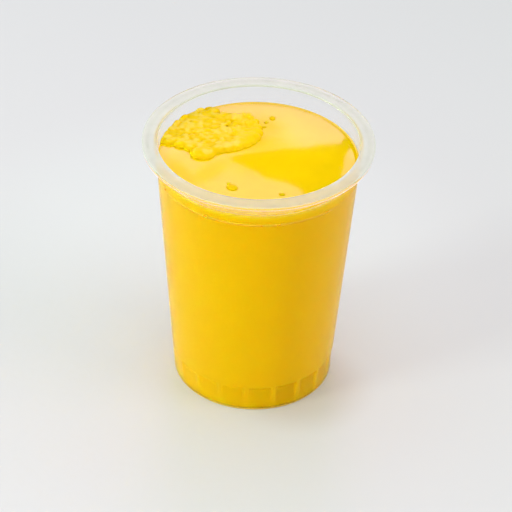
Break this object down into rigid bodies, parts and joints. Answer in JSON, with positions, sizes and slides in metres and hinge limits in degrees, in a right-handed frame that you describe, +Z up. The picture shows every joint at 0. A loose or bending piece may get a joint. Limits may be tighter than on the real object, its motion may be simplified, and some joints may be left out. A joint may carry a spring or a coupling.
{
  "type": "flan in a clear dessert cup",
  "caption": "Yellow set custard flan, with a raft of froth on its top, filling a clear flanged plastic dessert cup with a ribbed foot.",
  "frame": {"origin": "centre of the flat foot ring that the cup stands on, at the bottom of the box round the whole part", "axes": "+Z up along the cup's axis, -Y towards the side seen first in the picture, +X to that view's right; the froth lies over -X +Y"},
  "size_m": [0.095, 0.0949, 0.1147],
  "materials": {
    "clear_plastic": "satin",
    "custard": "gloss"
  },
  "bodies": {
    "root": {"cup": "clear_plastic", "flan": "custard"}
  },
  "joints": []
}
